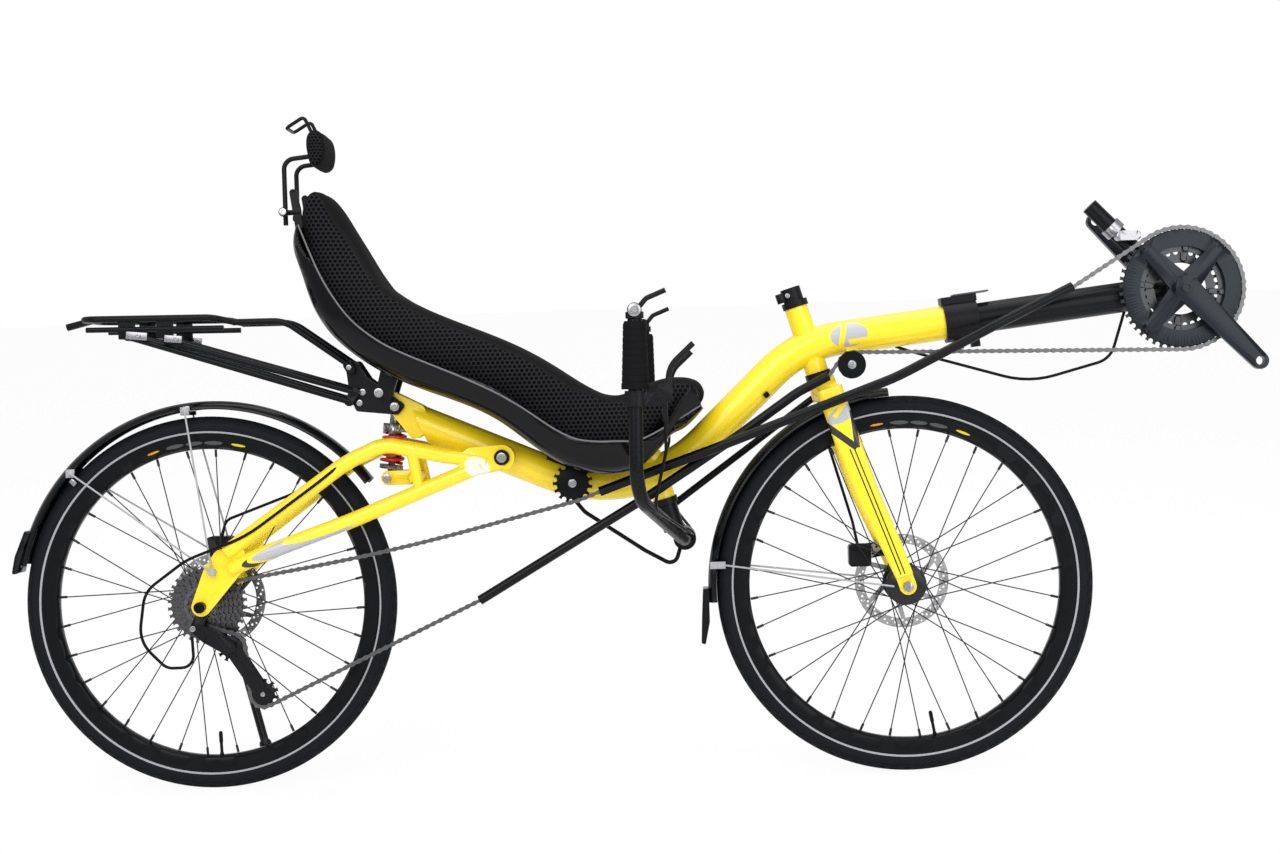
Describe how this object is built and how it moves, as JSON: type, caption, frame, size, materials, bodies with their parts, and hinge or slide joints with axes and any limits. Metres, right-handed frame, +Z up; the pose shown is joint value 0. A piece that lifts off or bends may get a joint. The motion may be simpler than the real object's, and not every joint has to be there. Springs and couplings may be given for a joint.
{
  "type": "recumbent bicycle",
  "caption": "Short-wheelbase recumbent bicycle with under-seat bars, moulded seat, headrest, rear rack, sprung swingarm and a side stand it leans on.",
  "frame": {"origin": "on the ground below the middle of the bounding box, the bicycle leaning on its side stand", "axes": "+X forward along the bicycle, +Y to its left and the side it leans to, +Z up"},
  "size_m": [2.1086, 0.6956, 1.1224],
  "materials": {
    "bare_metal": "satin",
    "black_paint": "satin",
    "black_plastic": "matte",
    "dark_metal": "satin",
    "fabric": "woven",
    "red_paint": "gloss",
    "rubber": "matte",
    "shell": "gloss",
    "steel": "satin",
    "tyre": "matte",
    "yellow_paint": "gloss"
  },
  "bodies": {
    "frame": {"main_frame": "yellow_paint", "headset_cups": "black_paint", "boom": "black_paint", "boom_clamp": "black_paint", "swingarm": "yellow_paint", "pivot_bolt": "steel", "shock": "steel", "spring": "red_paint", "shock_bolts": "steel", "seat_shell": "shell", "seat_cushion": "fabric", "headrest_frame": "black_paint", "headrest_loop": "black_paint", "headrest_pad": "fabric", "mount_plates": "dark_metal", "seat_supports": "dark_metal", "rack": "black_paint", "rear_fender": "black_plastic", "rear_caliper": "black_paint", "rear_axle_nuts": "steel", "chain_front": "steel", "chain_rear": "steel", "power_tube": "black_plastic", "return_tube": "black_plastic", "mid_idler": "black_plastic", "front_idler": "black_plastic", "idler_bolts": "steel", "rear_derailleur": "dark_metal", "bb_cups": "dark_metal", "front_derailleur": "bare_metal", "frame_cables": "black_plastic"},
    "fork": {"fork": "yellow_paint", "steerer_clamp": "black_paint", "front_fender": "black_plastic", "front_skewer": "steel", "front_caliper": "black_paint", "fork_cable": "black_plastic"},
    "front_wheel": {"front_tyre": "tyre", "front_rim": "black_paint", "front_hub": "steel", "front_disc": "steel"},
    "rear_wheel": {"rear_tyre": "tyre", "rear_rim": "black_paint", "rear_hub": "steel", "rear_disc": "steel", "cassette": "steel"},
    "bars": {"stem": "black_paint", "handlebar": "black_paint", "grips": "rubber", "brake_levers": "black_paint", "shifters": "black_paint", "bar_cables": "black_plastic"},
    "tie": {"tie_rod": "black_paint"},
    "cranks": {"crankset": "dark_metal", "inner_rings": "steel", "left_crank": "dark_metal"},
    "stand": {"kickstand": "black_paint"}
  },
  "joints": [
    {"name": "fork_steer", "type": "hinge", "parent": "frame", "child": "fork", "pos_m": [0.28753, 0.01823, 0.77737], "axis": [-0.284, 0.15, 0.947], "range_deg": [-20, 20]},
    {"name": "front_wheel_spin", "type": "hinge", "parent": "fork", "child": "front_wheel", "pos_m": [0.45667, -0.05534, 0.31283], "axis": [0, 0.9877, -0.1564], "continuous": true},
    {"name": "rear_wheel_spin", "type": "hinge", "parent": "frame", "child": "rear_wheel", "pos_m": [-0.71932, -0.05534, 0.31283], "axis": [0, 0.9877, -0.1564], "continuous": true},
    {"name": "bar_steer", "type": "hinge", "parent": "frame", "child": "bars", "pos_m": [0.03268, -0.01913, 0.54148], "axis": [-0.284, 0.15, 0.947], "range_deg": [-20, 20]},
    {"name": "tie_rod_pivot", "type": "hinge", "parent": "bars", "child": "tie", "pos_m": [0.06164, 0.02681, 0.43519], "axis": [-0.284, 0.15, 0.947], "range_deg": [-20, 20]},
    {"name": "crank_spin", "type": "hinge", "parent": "frame", "child": "cranks", "pos_m": [0.92368, 0.01982, 0.78741], "axis": [0, 0.9877, -0.1564], "continuous": true},
    {"name": "stand_fold", "type": "hinge", "parent": "frame", "child": "stand", "pos_m": [-0.71732, 0.03106, 0.27029], "axis": [0.0168, 0.9827, 0.1846], "range_deg": [0, 101]}
  ],
  "couplings": [
    {"joint": "bar_steer", "follows": "fork_steer", "ratio": 1},
    {"joint": "tie_rod_pivot", "follows": "fork_steer", "ratio": -1}
  ]
}
